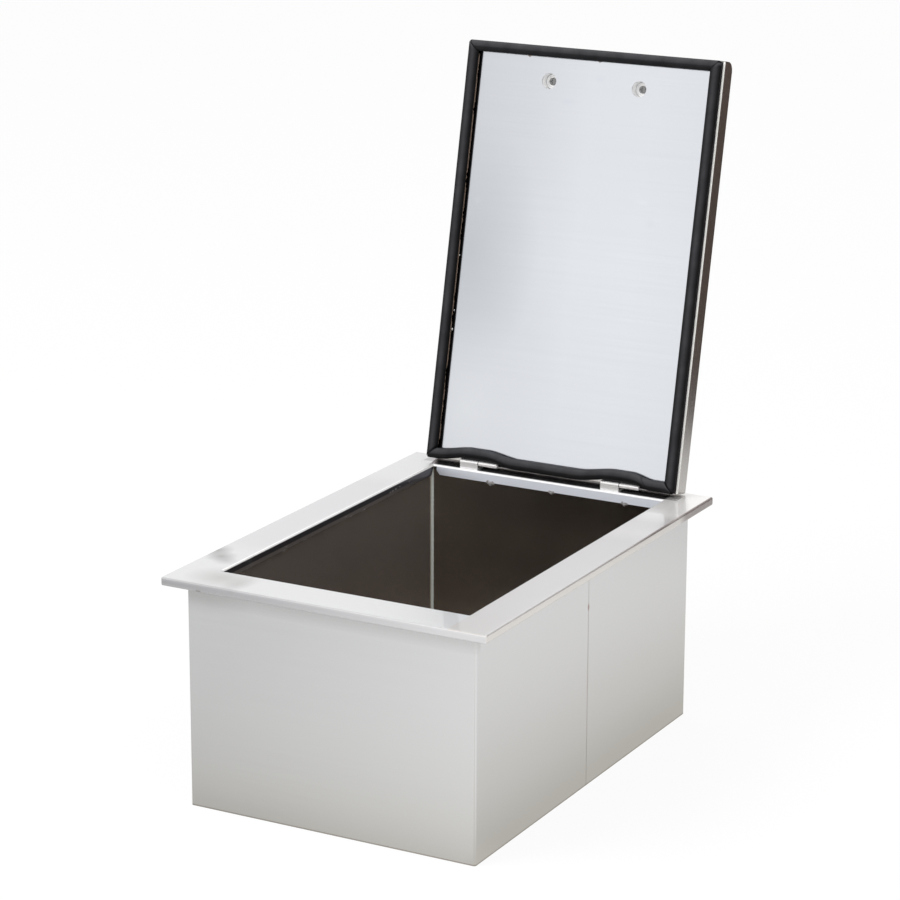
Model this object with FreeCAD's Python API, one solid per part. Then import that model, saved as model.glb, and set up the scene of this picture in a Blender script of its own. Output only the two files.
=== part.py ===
import FreeCAD, Part
import math
import os

# Drop-in ice chest: an insulated steel well with a worktop rim and a hinged, sealed lid.
# Millimetres. Origin in the middle of the casing's underside, +X right, +Y to the rear, +Z up.
# The lid is built closed and then turned back on its hinges until its rear edge meets the rim.

# Rim that lies on the worktop
rim_width = 429.0
rim_depth = 610.0
rim_sheet = 1.2
rim_edge_height = 10.5
rim_return = 12.0
rim_bend = 2.2

# Mouth of the well, measured in from the rim's outer edges
mouth_side_margin = 50.0
mouth_front_margin = 54.0
mouth_rear_margin = 43.0
mouth_flange = 12.3
mouth_lean_degrees = 11.0

# Casing under the rim
chest_height = 287.0
rim_overhang_side = 23.0
rim_overhang_front = 20.5
rim_overhang_rear = 23.0
casing_sheet = 1.0
casing_bend = 3.0
seam_gap = 0.4
strap_width = 40.0
strap_sheet = 1.0
pan_sheet = 1.0
pan_lip = 15.0
pan_clear = 0.1

# Liner of the well, set back behind the mouth's flange
liner_sheet = 1.0
liner_setback = 5.0
liner_floor_height = 27.0
liner_bend = 8.0
sealant_height = 6.0
sealant_lift = 2.0
foam_clear = 0.4

# Drain in the floor of the well
drain_from_rear = 70.0
drain_flange_radius = 30.0
drain_flange_thick = 2.0
drain_seal_thick = 1.5
drain_sleeve_radius = 18.0
drain_thread_radius = 12.06
drain_thread_length = 14.9
drain_base_gap = 0.6
drain_seat_radius = 16.0
drain_seat_taper = 2.0
drain_hole_clear = 0.3
strainer_thick = 1.5
strainer_clear = 0.1
strainer_hole_radius = 1.8
strainer_hole_circle = 8.0
strainer_hole_count = 8
locknut_across_flats = 46.0
locknut_thick = 7.0
thread_clear = 0.1

# Rubber drain plug
plug_clear = 0.3
plug_rim_radius = 19.0
plug_rim_thick = 3.0
plug_stem_length = 11.0
plug_post_radius = 2.5
plug_post_length = 6.0
plug_knob_radius = 8.0
plug_knob_thick = 5.0
plug_knob_round = 1.7

# Lid
lid_width = 358.0
lid_depth = 544.3
lid_thick = 24.8
lid_sheet = 1.0
lid_front_bend = 12.5
lid_bend = 2.0
lid_lip_bend = 1.2
lid_edge_round = 0.7
lid_return = 8.0
lid_rear_overlap = 0.9
panel_gap = 0.5
panel_wall = 15.0
panel_bend = 2.0

# Bulb seal round the lid
seal_width = 13.6
seal_height = 11.0
seal_side_lip = 1.0
seal_front_lip = 0.2
seal_rear_lip = 1.25
seal_clear = 0.3
seal_rise = 6.1
seal_rise_flat = 24.0
seal_outer_ramp = 38.0
seal_inner_ramp = 45.0

# Slip-joint hinges, a fixed knuckle on the left of each and a capped one on the right
hinge_spacing = 202.5
hinge_from_rear = 34.5
knuckle_radius = 3.25
knuckle_clear = 0.4
fixed_knuckle = 25.5
lid_knuckle = 27.5
lid_knuckle_cap = 3.0
lid_knuckle_dome = 2.4
hinge_washer = 1.0
hinge_pin_radius = 2.0
pin_press_clear = 0.02
pin_running_clear = 0.06
hinge_side_clear = 0.3
leaf_thick = 1.5
fixed_leaf_foot = 16.0
lid_leaf_length = 16.0
lid_leaf_width = 22.0

# Lid handle and its screws
handle_spacing = 127.0
handle_off_centre = 2.2
handle_from_front = 44.1
handle_bar_radius = 6.0
handle_bar_overhang = 18.0
handle_bar_round = 2.0
handle_post_radius = 5.0
handle_reach = 36.0
handle_thread_depth = 13.0
screw_radius = 2.5
screw_length = 25.0
screw_head_radius = 4.75
screw_head_height = 3.2
screw_head_round = 1.1
screw_recess_width = 1.3
screw_recess_length = 5.4
screw_recess_depth = 2.0
screw_clear = 0.25
handle_spacer_radius = 7.5
handle_spacer_length = 11.5
access_hole_radius = 10.0
access_tube_sheet = 0.8

# Clearance left between the lid's rear edge and the rim when the lid is fully back
stop_clear = 0.8

# Places that follow from the sizes above
V = FreeCAD.Vector
X_AXIS = V(1, 0, 0)
Y_AXIS = V(0, 1, 0)
Z_AXIS = V(0, 0, 1)
rim_half_x = rim_width / 2
casing_half_x = rim_half_x - rim_overhang_side
casing_half_y = (rim_depth - rim_overhang_front - rim_overhang_rear) / 2
casing_inner_x = casing_half_x - casing_sheet
casing_inner_y = casing_half_y - casing_sheet
rim_front = -casing_half_y - rim_overhang_front
rim_rear = casing_half_y + rim_overhang_rear
rim_under = chest_height - rim_sheet
mouth_half_x = rim_half_x - mouth_side_margin
mouth_front = rim_front + mouth_front_margin
mouth_rear = rim_rear - mouth_rear_margin
mouth_mid_y = (mouth_front + mouth_rear) / 2
mouth_half_y = (mouth_rear - mouth_front) / 2
mouth_turn = math.radians(90 - mouth_lean_degrees)
liner_half_x = mouth_half_x + liner_setback
liner_front = mouth_front - liner_setback
liner_rear = mouth_rear + liner_setback
liner_under = liner_floor_height - liner_sheet
drain_y = liner_rear - drain_from_rear
drain_top = liner_floor_height + drain_seal_thick + drain_flange_thick
strainer_base = drain_base_gap + drain_thread_length
locknut_corner = locknut_across_flats / math.sqrt(3)
lid_plane = chest_height + seal_height + seal_clear
lid_top = lid_plane + lid_thick
hinge_y = rim_rear - hinge_from_rear
hinge_z = lid_plane - knuckle_radius - knuckle_clear
lid_rear = hinge_y + lid_rear_overlap
lid_front = lid_rear - lid_depth
lid_half_x = lid_width / 2
hinge_length = fixed_knuckle + hinge_washer + lid_knuckle
handle_y = lid_front + handle_from_front
handle_z = lid_top + handle_reach
SIDES = (("left", -1), ("right", 1))


def block(x, y, z):
    """A box between two limits on each axis."""
    return Part.makeBox(x[1] - x[0], y[1] - y[0], z[1] - z[0], V(x[0], y[0], z[0]))


def rod(radius, start, axis, length):
    return Part.makeCylinder(radius, length, start, axis)


def upright(radius, x, y, z):
    """A cylinder along Z between two heights."""
    return rod(radius, V(x, y, z[0]), Z_AXIS, z[1] - z[0])


def outline(points):
    """A flat face inside a closed run of straight edges."""
    return Part.Face(Part.makePolygon(points + [points[0]]))


def rounded(shape, radius, wanted):
    """Fillets the edges that a test picks by direction and middle point."""
    edges = []
    for edge in shape.Edges:
        ends = edge.Vertexes
        if len(ends) == 2:
            run = (ends[1].Point - ends[0].Point).normalize()
            if wanted(run, (ends[0].Point + ends[1].Point) * 0.5):
                edges.append(edge)
    return shape.makeFillet(radius, edges)


def round_edges(shape, wanted):
    """The closed round edges that a test picks by their centre."""
    return [edge for edge in shape.Edges if edge.isClosed() and wanted(edge.BoundBox.Center)]


def along_z(run, middle):
    return abs(run.z) > 0.99


def every_edge(run, middle):
    return True


def tray_outline(y, z, sheet_inset, x):
    """A side view of the lid: a rectangle with its two upper corners and its rear lower one rounded."""
    off_arc = 1 - math.sqrt(0.5)
    front = lid_front_bend - sheet_inset
    rear = lid_bend - sheet_inset
    lip = lid_lip_bend - sheet_inset
    front_mid = V(x, y[0] + front * off_arc, z[1] - front * off_arc)
    rear_mid = V(x, y[1] - rear * off_arc, z[1] - rear * off_arc)
    lip_mid = V(x, y[1] - lip * off_arc, z[0] + lip * off_arc)
    corners = [V(x, y[0], z[0]), V(x, y[0], z[1] - front), V(x, y[0] + front, z[1])]
    corners += [V(x, y[1] - rear, z[1]), V(x, y[1], z[1] - rear)]
    corners += [V(x, y[1], z[0] + lip), V(x, y[1] - lip, z[0])]
    edges = [
        Part.LineSegment(corners[0], corners[1]),
        Part.Arc(corners[1], front_mid, corners[2]),
        Part.LineSegment(corners[2], corners[3]),
        Part.Arc(corners[3], rear_mid, corners[4]),
        Part.LineSegment(corners[4], corners[5]),
        Part.Arc(corners[5], lip_mid, corners[6]),
        Part.LineSegment(corners[6], corners[0]),
    ]
    return Part.Face(Part.Wire([edge.toShape() for edge in edges]))


def lid_open_angle():
    """The turn that brings the lid's rear upper edge down to the rim."""
    height = lid_top - hinge_z
    drop = chest_height + stop_clear - hinge_z
    reach = math.hypot(height, lid_rear_overlap)
    return math.degrees(math.acos(drop / reach) - math.atan2(lid_rear_overlap, height))


def opened(shape):
    return shape.rotated(V(0, hinge_y, hinge_z), X_AXIS, -lid_open_angle())


def on_mouth_bend(radius, turn, x):
    """A point on the bend of the mouth's fold, after a turn from the rim's flat top, in the fold's own frame."""
    return V(x, rim_bend - radius * math.sin(turn), chest_height - rim_bend + radius * math.cos(turn))


def flange_point(radius, z, x):
    """A point at a height on one of the flange's two faces, in the fold's own frame."""
    start = on_mouth_bend(radius, mouth_turn, x)
    return V(x, start.y - (start.z - z) / math.tan(mouth_turn), z)


def mouth_fold(half_length):
    """One side of the mouth: the rim's sheet bent down into a flange that leans into the well.

    It runs along X, +Y points away from the well, and the flange's ends are trimmed to 45 degrees."""
    inner = rim_bend - rim_sheet
    tip = half_length + rim_bend
    low = chest_height - mouth_flange
    face_low = flange_point(rim_bend, low, -tip)
    back_low = flange_point(inner, low, -tip)
    face_top = on_mouth_bend(rim_bend, mouth_turn, -tip)
    back_top = on_mouth_bend(inner, mouth_turn, -tip)
    flat_top = V(-tip, rim_bend, chest_height)
    flat_under = V(-tip, rim_bend, rim_under)
    edges = [
        Part.Arc(flat_top, on_mouth_bend(rim_bend, mouth_turn / 2, -tip), face_top),
        Part.LineSegment(face_top, face_low),
        Part.LineSegment(face_low, back_low),
        Part.LineSegment(back_low, back_top),
        Part.Arc(back_top, on_mouth_bend(inner, mouth_turn / 2, -tip), flat_under),
        Part.LineSegment(flat_under, flat_top),
    ]
    strip = Part.Face(Part.Wire([edge.toShape() for edge in edges])).extrude(X_AXIS * 2 * tip)
    lean = face_low.y
    mitred = outline([
        V(-half_length - lean, lean, low),
        V(half_length + lean, lean, low),
        V(tip, rim_bend, low),
        V(-tip, rim_bend, low),
    ])
    trim = mouth_flange - rim_bend
    trimmed = outline([
        V(-half_length + trim, lean, low),
        V(half_length - trim, lean, low),
        V(tip, lean, chest_height),
        V(-tip, lean, chest_height),
    ])
    strip = strip.common(mitred.extrude(Z_AXIS * mouth_flange))
    return strip.common(trimmed.extrude(Y_AXIS * (rim_bend - lean)))


def mouth_sides():
    """Turn, half length and place of the mouth's four sides."""
    return (
        (0, mouth_half_x, V(0, mouth_rear, 0)),
        (180, mouth_half_x, V(0, mouth_front, 0)),
        (-90, mouth_half_y, V(mouth_half_x, mouth_mid_y, 0)),
        (90, mouth_half_y, V(-mouth_half_x, mouth_mid_y, 0)),
    )


def rim():
    edge_low = chest_height - rim_edge_height
    shell = block((-rim_half_x, rim_half_x), (rim_front, rim_rear), (edge_low, chest_height))
    shell = rounded(shell, rim_bend, every_edge)
    inner_x = rim_half_x - rim_sheet
    inner_y = (rim_front + rim_sheet, rim_rear - rim_sheet)
    hollow = block((-inner_x, inner_x), inner_y, (edge_low + rim_sheet, rim_under))
    hollow = rounded(hollow, rim_bend - rim_sheet, every_edge)
    under_x = rim_half_x - rim_return
    under_y = (rim_front + rim_return, rim_rear - rim_return)
    underside = block((-under_x, under_x), under_y, (edge_low, edge_low + rim_edge_height / 2))
    hole_x = mouth_half_x + rim_bend
    hole = block((-hole_x, hole_x), (mouth_front - rim_bend, mouth_rear + rim_bend), (edge_low, chest_height))
    shell = shell.cut(hollow).cut(underside).cut(hole)
    for turn, half_length, place in mouth_sides():
        shell = shell.fuse(mouth_fold(half_length).rotated(V(), Z_AXIS, turn).translated(place))
    return {"rim_frame": shell.removeSplitter()}


def casing():
    outer = block((-casing_half_x, casing_half_x), (-casing_half_y, casing_half_y), (0, rim_under))
    outer = rounded(outer, casing_bend, along_z)
    inner = block((-casing_inner_x, casing_inner_x), (-casing_inner_y, casing_inner_y), (0, rim_under))
    inner = rounded(inner, casing_bend - casing_sheet, along_z)
    wrap = outer.cut(inner)
    front = block((-casing_half_x, casing_half_x), (-casing_half_y, -seam_gap / 2), (0, rim_under))
    rear = block((-casing_half_x, casing_half_x), (seam_gap / 2, casing_half_y), (0, rim_under))
    straps = []
    for name, side in SIDES:
        x = sorted((side * casing_inner_x, side * (casing_inner_x - strap_sheet)))
        z = (pan_lip + pan_clear, rim_under)
        straps.append(block(x, (-strap_width / 2, strap_width / 2), z))
    return {
        "casing_front": wrap.common(front),
        "casing_rear": wrap.common(rear),
        "casing_seam_straps": Part.makeCompound(straps),
        "casing_bottom_pan": bottom_pan(),
    }


def bottom_pan():
    x = casing_inner_x - pan_clear
    y = casing_inner_y - pan_clear
    bend = casing_bend - casing_sheet
    pan = rounded(block((-x, x), (-y, y), (0, pan_lip)), bend, along_z)
    inner_x = x - pan_sheet
    inner_y = y - pan_sheet
    hollow = rounded(block((-inner_x, inner_x), (-inner_y, inner_y), (pan_sheet, pan_lip)), bend / 2, along_z)
    return pan.cut(hollow).cut(upright(drain_sleeve_radius + drain_hole_clear, 0, drain_y, (0, pan_sheet)))


def liner_block(x, inset):
    """The liner's bent front, floor and rear, seen from the side, filled in between two places on X."""
    bend = liner_bend + liner_sheet - inset
    y = (liner_front - liner_sheet + inset, liner_rear + liner_sheet - inset)
    solid = block(x, y, (liner_under + inset, rim_under))

    def floor_edge(run, middle):
        return abs(run.x) > 0.99 and middle.z < liner_under + inset + bend

    return rounded(solid, bend, floor_edge)


def liner():
    across = (-liner_half_x, liner_half_x)
    wrap = liner_block(across, 0).cut(liner_block(across, liner_sheet))
    hole = upright(drain_sleeve_radius + drain_hole_clear, 0, drain_y, (liner_under, liner_floor_height))
    pieces = {"liner_front_floor_rear": wrap.cut(hole)}
    for name, side in SIDES:
        x = sorted((side * liner_half_x, side * (liner_half_x + liner_sheet)))
        pieces["liner_wall_" + name] = liner_block(x, 0)
    pieces["rim_sealant"] = rim_sealant()
    return pieces


def rim_sealant():
    """Beads that close the gap between the mouth's flange and the liner."""
    low = chest_height - mouth_flange + sealant_lift
    high = low + sealant_height
    inner = rim_bend - rim_sheet
    beads = []
    for turn, half_length, place in mouth_sides():
        reach = half_length - mouth_flange
        section = outline([
            flange_point(inner, low, -reach),
            V(-reach, liner_setback, low),
            V(-reach, liner_setback, high),
            flange_point(inner, high, -reach),
        ])
        bead = section.extrude(X_AXIS * 2 * reach)
        beads.append(bead.rotated(V(), Z_AXIS, turn).translated(place))
    return Part.makeCompound(beads)


def insulation():
    """Foam boards that fill the space between the casing and the liner."""
    board_x = casing_inner_x - casing_bend
    board_y = casing_inner_y - foam_clear
    upper = (liner_under, rim_under)
    front = (-board_y, liner_front - liner_sheet)
    rear = (liner_rear + liner_sheet, board_y)
    between = (front[1], rear[0])
    floor_x = casing_inner_x - pan_clear - pan_sheet - foam_clear
    floor_y = casing_inner_y - pan_clear - pan_sheet - foam_clear
    floor = block((-floor_x, floor_x), (-floor_y, floor_y), (pan_sheet, liner_under))
    pocket = upright(locknut_corner + drain_hole_clear, 0, drain_y, (pan_sheet, liner_under))
    boards = {
        "foam_front": block((-board_x, board_x), front, upper),
        "foam_rear": block((-board_x, board_x), rear, upper),
        "foam_floor": floor.cut(pocket),
    }
    for name, side in SIDES:
        outer = casing_inner_x - strap_sheet
        x = sorted((side * (liner_half_x + liner_sheet), side * outer))
        boards["foam_" + name] = block(x, between, upper)
    return boards


def drain():
    """A flanged fitting that is clamped to the liner's floor and ends inside the bottom pan's hole."""
    seal_z = (liner_floor_height, liner_floor_height + drain_seal_thick)
    seal = upright(drain_flange_radius, 0, drain_y, seal_z)
    seal = seal.cut(upright(drain_sleeve_radius + thread_clear, 0, drain_y, seal_z))
    fitting = upright(drain_flange_radius, 0, drain_y, (seal_z[1], drain_top))
    fitting = fitting.fuse(upright(drain_sleeve_radius, 0, drain_y, (drain_base_gap, drain_top)))
    strainer_top = strainer_base + strainer_thick
    strainer_radius = drain_seat_radius - drain_seat_taper
    seat_place = V(0, drain_y, strainer_top)
    seat = Part.makeCone(strainer_radius, drain_seat_radius, drain_top - strainer_top, seat_place)
    fitting = fitting.cut(upright(drain_thread_radius, 0, drain_y, (drain_base_gap, drain_top)))
    fitting = fitting.cut(upright(strainer_radius, 0, drain_y, (strainer_base, strainer_top))).cut(seat)
    strainer = upright(strainer_radius - strainer_clear, 0, drain_y, (strainer_base, strainer_top))
    for index in range(strainer_hole_count):
        angle = 2 * math.pi * index / strainer_hole_count
        x = strainer_hole_circle * math.cos(angle)
        y = drain_y + strainer_hole_circle * math.sin(angle)
        strainer = strainer.cut(upright(strainer_hole_radius, x, y, (strainer_base, strainer_top)))
    strainer = strainer.cut(upright(strainer_hole_radius, 0, drain_y, (strainer_base, strainer_top)))
    nut_z = (liner_under - locknut_thick, liner_under)
    corners = []
    for index in range(6):
        angle = math.radians(60 * index)
        reach = V(math.cos(angle), math.sin(angle), 0) * locknut_corner
        corners.append(V(0, drain_y, nut_z[0]) + reach)
    nut = outline(corners).extrude(Z_AXIS * locknut_thick)
    nut = nut.cut(upright(drain_sleeve_radius + thread_clear, 0, drain_y, nut_z))
    return {
        "drain_fitting": fitting.removeSplitter(),
        "drain_seal": seal,
        "drain_locknut": nut,
        "drain_strainer": strainer,
    }


def plug():
    """A tapered rubber stopper that hangs by its rim in the drain's seat, with a knob to lift it by."""
    rim_low = drain_top + plug_clear
    rim_high = rim_low + plug_rim_thick
    slope = drain_seat_taper / (drain_top - strainer_base - strainer_thick)
    top_radius = drain_seat_radius - plug_clear
    low_radius = top_radius - plug_stem_length * slope
    stem = Part.makeCone(low_radius, top_radius, plug_stem_length, V(0, drain_y, rim_low - plug_stem_length))
    body = stem.fuse(upright(plug_rim_radius, 0, drain_y, (rim_low, rim_high)))
    post_high = rim_high + plug_post_length
    knob = upright(plug_post_radius, 0, drain_y, (rim_high, post_high))
    knob = knob.fuse(upright(plug_knob_radius, 0, drain_y, (post_high, post_high + plug_knob_thick)))
    knob = knob.makeFillet(plug_knob_round, round_edges(knob, lambda centre: centre.z > post_high + 1))
    return {"drain_plug": body.removeSplitter(), "drain_plug_knob": knob}


def hinge_left_end(side):
    return side * hinge_spacing / 2 - hinge_length / 2


def hinges():
    """Fixed leaves, pins and washers, which stay on the rim."""
    pieces = {}
    washers = []
    for name, side in SIDES:
        x = hinge_left_end(side)
        centre = V(x, hinge_y, hinge_z)
        web = (hinge_y - knuckle_radius, hinge_y - knuckle_radius + leaf_thick)
        foot = (web[0], web[0] + fixed_leaf_foot)
        leaf = rod(knuckle_radius, centre, X_AXIS, fixed_knuckle)
        leaf = leaf.fuse(block((x, x + fixed_knuckle), web, (chest_height, hinge_z)))
        leaf = leaf.fuse(block((x, x + fixed_knuckle), foot, (chest_height, chest_height + leaf_thick)))
        bore = rod(hinge_pin_radius + pin_press_clear, centre, X_AXIS, fixed_knuckle)
        pieces["hinge_rim_leaf_" + name] = leaf.cut(bore).removeSplitter()
        pin_length = hinge_length - lid_knuckle_cap - hinge_side_clear
        pieces["hinge_pin_" + name] = rod(hinge_pin_radius, centre, X_AXIS, pin_length)
        ring_place = centre + X_AXIS * fixed_knuckle
        ring = rod(knuckle_radius, ring_place, X_AXIS, hinge_washer - hinge_side_clear)
        washers.append(ring.cut(rod(hinge_pin_radius + pin_press_clear, ring_place, X_AXIS, hinge_washer)))
    pieces["hinge_washers"] = Part.makeCompound(washers)
    return pieces


def lid_leaf_box(side):
    x = hinge_left_end(side) + fixed_knuckle + hinge_washer
    y = (hinge_y - lid_leaf_length, hinge_y)
    return block((x, x + lid_leaf_width), y, (lid_plane - leaf_thick, lid_plane))


def lid_leaves():
    """Capped knuckles with their leaves flat on the lid's underside."""
    pieces = {}
    for name, side in SIDES:
        x = hinge_left_end(side) + fixed_knuckle + hinge_washer
        centre = V(x, hinge_y, hinge_z)
        barrel = rod(knuckle_radius, centre, X_AXIS, lid_knuckle)
        far_end = round_edges(barrel, lambda centre: centre.x > x + 1)
        barrel = barrel.makeFillet(lid_knuckle_dome, far_end)
        bore_length = lid_knuckle - lid_knuckle_cap
        bore = rod(hinge_pin_radius + pin_running_clear, centre, X_AXIS, bore_length)
        pieces["hinge_lid_leaf_" + name] = barrel.fuse(lid_leaf_box(side)).cut(bore).removeSplitter()
    return pieces


def handle_screw_x(side):
    return handle_off_centre + side * handle_spacing / 2


def lid_panels():
    """The lid's outer shell with its folded lip, the inner panel that closes it, and what is between them."""
    y = (lid_front, lid_rear)
    z = (lid_plane, lid_top)
    shell = tray_outline(y, z, 0, -lid_half_x).extrude(X_AXIS * lid_width)
    ends = [edge for edge in shell.Edges if edge.BoundBox.XLength < 0.01]
    shell = shell.makeFillet(lid_edge_round, ends)
    inner_y = (y[0] + lid_sheet, y[1] - lid_sheet)
    inner_z = (z[0] + lid_sheet, z[1] - lid_sheet)
    inner_x = lid_half_x - lid_sheet
    hollow = tray_outline(inner_y, inner_z, lid_sheet, -inner_x)
    shell = shell.cut(hollow.extrude(X_AXIS * 2 * inner_x))
    lip_x = lid_half_x - lid_return
    lip_y = (y[0] + lid_return, y[1] - lid_return)
    shell = shell.cut(block((-lip_x, lip_x), lip_y, (z[0], inner_z[0])))
    inset = lid_return + panel_gap
    panel_x = lid_half_x - inset
    panel_y = (y[0] + inset, y[1] - inset)
    panel = block((-panel_x, panel_x), panel_y, (z[0], z[0] + panel_wall))
    panel = rounded(panel, panel_bend, along_z)
    core_y = (panel_y[0] + lid_sheet, panel_y[1] - lid_sheet)
    core_x = panel_x - lid_sheet
    core = block((-core_x, core_x), core_y, (inner_z[0], inner_z[1]))
    core = rounded(core, panel_bend - lid_sheet, along_z)
    panel = panel.cut(core)
    core = core.common(block((-core_x, core_x), (y[0] + lid_front_bend, core_y[1]), inner_z))
    tubes = []
    for name, side in SIDES:
        x = handle_screw_x(side)
        access = upright(access_hole_radius, x, handle_y, (z[0], inner_z[1]))
        tube = upright(access_hole_radius + access_tube_sheet, x, handle_y, inner_z)
        panel = panel.cut(access)
        core = core.cut(tube)
        tubes.append(tube.cut(access))
        shell = shell.cut(upright(screw_radius + screw_clear, x, handle_y, (inner_z[1], z[1])))
    return {
        "lid_shell": shell,
        "lid_inner_panel": panel,
        "lid_foam_core": core,
        "lid_access_tubes": Part.makeCompound(tubes),
    }


def seal_section(place, across):
    """A round section pressed flat against the lid's underside, across one horizontal direction."""
    half = seal_width / 2
    middle = seal_height - half
    foot = math.sqrt(half * half - middle * middle)

    def at(sideways, down):
        return place + across * sideways - Z_AXIS * down

    edges = [
        Part.LineSegment(at(-foot, 0), at(foot, 0)),
        Part.Arc(at(foot, 0), at(half, middle), at(0, seal_height)),
        Part.Arc(at(0, seal_height), at(-half, middle), at(-foot, 0)),
    ]
    return Part.Wire([edge.toShape() for edge in edges])


def ramp(start, end):
    """Two arcs that lead smoothly from one straight run to a parallel one."""
    middle = (start + end) * 0.5
    rise = abs(end.y - start.y)
    bow = math.hypot(end.x - start.x, rise)
    radius = bow * bow / (4 * rise)
    turn = 2 * math.atan2(rise, abs(end.x - start.x))
    upward = 1 if end.y > start.y else -1
    sideways = radius * math.sin(turn / 2)
    lift = radius * (1 - math.cos(turn / 2)) * upward
    first = start + V(sideways, lift, 0)
    second = end - V(sideways, lift, 0)
    return [Part.Arc(start, first, middle).toShape(), Part.Arc(middle, second, end).toShape()]


def rear_seal_path(corner_x, base_y):
    """The seal's line along the hinges: it bows away from the edge at each hinge."""
    hump = base_y - seal_rise
    outer_x = hinge_spacing / 2 + seal_rise_flat / 2
    inner_x = hinge_spacing / 2 - seal_rise_flat / 2
    stops = [(-corner_x, base_y), (-outer_x - seal_outer_ramp, base_y), (-outer_x, hump), (-inner_x, hump)]
    stops.append((-inner_x + seal_inner_ramp, base_y))
    stops += [(-x, y) for x, y in reversed(stops)]
    points = [V(x, y, lid_plane) for x, y in stops]
    edges = []
    for start, end in zip(points, points[1:]):
        if abs(end.y - start.y) < 1e-6:
            edges.append(Part.LineSegment(start, end).toShape())
        else:
            edges += ramp(start, end)
    return Part.Wire(edges)


def seal():
    """Four lengths of bulb seal with mitred corners."""
    half = seal_width / 2
    corner_x = lid_half_x - seal_side_lip - half
    front = lid_front + seal_front_lip + half
    rear = lid_rear - seal_rear_lip - half
    over = V(seal_width, 0, 0)
    low = lid_plane - seal_height
    front_run = Part.Face(seal_section(V(-corner_x, front, lid_plane) - over, Y_AXIS))
    front_run = front_run.extrude(X_AXIS * 2 * (corner_x + seal_width))
    path = rear_seal_path(corner_x + seal_width, rear)
    rear_run = path.makePipeShell([seal_section(path.OrderedVertexes[0].Point, Y_AXIS)], True, False)
    outer_x = corner_x + half
    core_x = corner_x - half

    def mitre(edge, inward):
        wide = outer_x + half
        deep = outer_x - 2 * seal_width
        start = edge - inward * half
        end = edge + inward * 2 * seal_width
        corners = [V(-wide, start, low), V(wide, start, low), V(deep, end, low), V(-deep, end, low)]
        return outline(corners).extrude(Z_AXIS * seal_height)

    pieces = {"seal_front": front_run.common(mitre(front - half, 1))}
    rear_run = rear_run.common(mitre(rear + half, -1))
    for name, side in SIDES:
        rear_run = rear_run.cut(lid_leaf_box(side))
        start = V(side * corner_x, front - seal_width, lid_plane)
        run = Part.Face(seal_section(start, X_AXIS)).extrude(Y_AXIS * (rear - front + 2 * seal_width))
        outer = side * outer_x
        core = side * core_x
        corners = [V(outer, front - half, low), V(outer, rear + half, low), V(core, rear - half, low)]
        corners.append(V(core, front + half, low))
        pieces["seal_" + name] = run.common(outline(corners).extrude(Z_AXIS * seal_height))
    pieces["seal_rear"] = rear_run
    return pieces


def handle():
    """A bar handle outside the lid, held by screws on spacers, which are reached through the inner panel."""
    start = V(handle_screw_x(-1) - handle_bar_overhang, handle_y, handle_z)
    bar = rod(handle_bar_radius, start, X_AXIS, handle_spacing + 2 * handle_bar_overhang)
    bar = bar.makeFillet(handle_bar_round, round_edges(bar, lambda centre: True))
    under = lid_top - lid_sheet
    screws = []
    spacers = []
    for name, side in SIDES:
        bar = bar.fuse(upright(handle_post_radius, handle_screw_x(side), handle_y, (lid_top, handle_z)))
    for name, side in SIDES:
        x = handle_screw_x(side)
        thread_z = (lid_top, lid_top + handle_thread_depth)
        bar = bar.cut(upright(screw_radius + thread_clear, x, handle_y, thread_z))
        spacer_low = under - handle_spacer_length
        spacer = upright(handle_spacer_radius, x, handle_y, (spacer_low, under))
        spacers.append(spacer.cut(upright(screw_radius + screw_clear, x, handle_y, (spacer_low, under))))
        head_low = spacer_low - screw_head_height
        screw = upright(screw_head_radius, x, handle_y, (head_low, spacer_low))
        head_edge = round_edges(screw, lambda centre: centre.z < spacer_low - 1)
        screw = screw.makeFillet(screw_head_round, head_edge)
        screw = screw.fuse(upright(screw_radius, x, handle_y, (spacer_low, spacer_low + screw_length)))
        arm = screw_recess_length / 2
        blade = screw_recess_width / 2
        depth = (head_low, head_low + screw_recess_depth)
        for along, across in ((arm, blade), (blade, arm)):
            slot = block((x - along, x + along), (handle_y - across, handle_y + across), depth)
            screw = screw.cut(slot)
        screws.append(screw.removeSplitter())
    return {
        "lid_handle": bar.removeSplitter(),
        "handle_screws": Part.makeCompound(screws),
        "handle_spacers": Part.makeCompound(spacers),
    }


def main():
    os.makedirs("parts", exist_ok=True)
    pieces = {}
    for make in (rim, casing, liner, insulation, drain, plug, hinges):
        pieces.update(make())
    for make in (lid_panels, seal, lid_leaves, handle):
        pieces.update({name: opened(shape) for name, shape in make().items()})
    for name, shape in pieces.items():
        shape.exportStep("parts/" + name + ".step")
        state = "valid" if shape.isValid() else "NOT VALID"
        print(name, len(shape.Solids), "solids", round(shape.Volume), "mm3", state)
    print("lid opens", round(lid_open_angle(), 2), "degrees")


main()
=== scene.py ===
import math

import bmesh
import bpy
from mathutils import Matrix, Vector, noise


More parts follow.
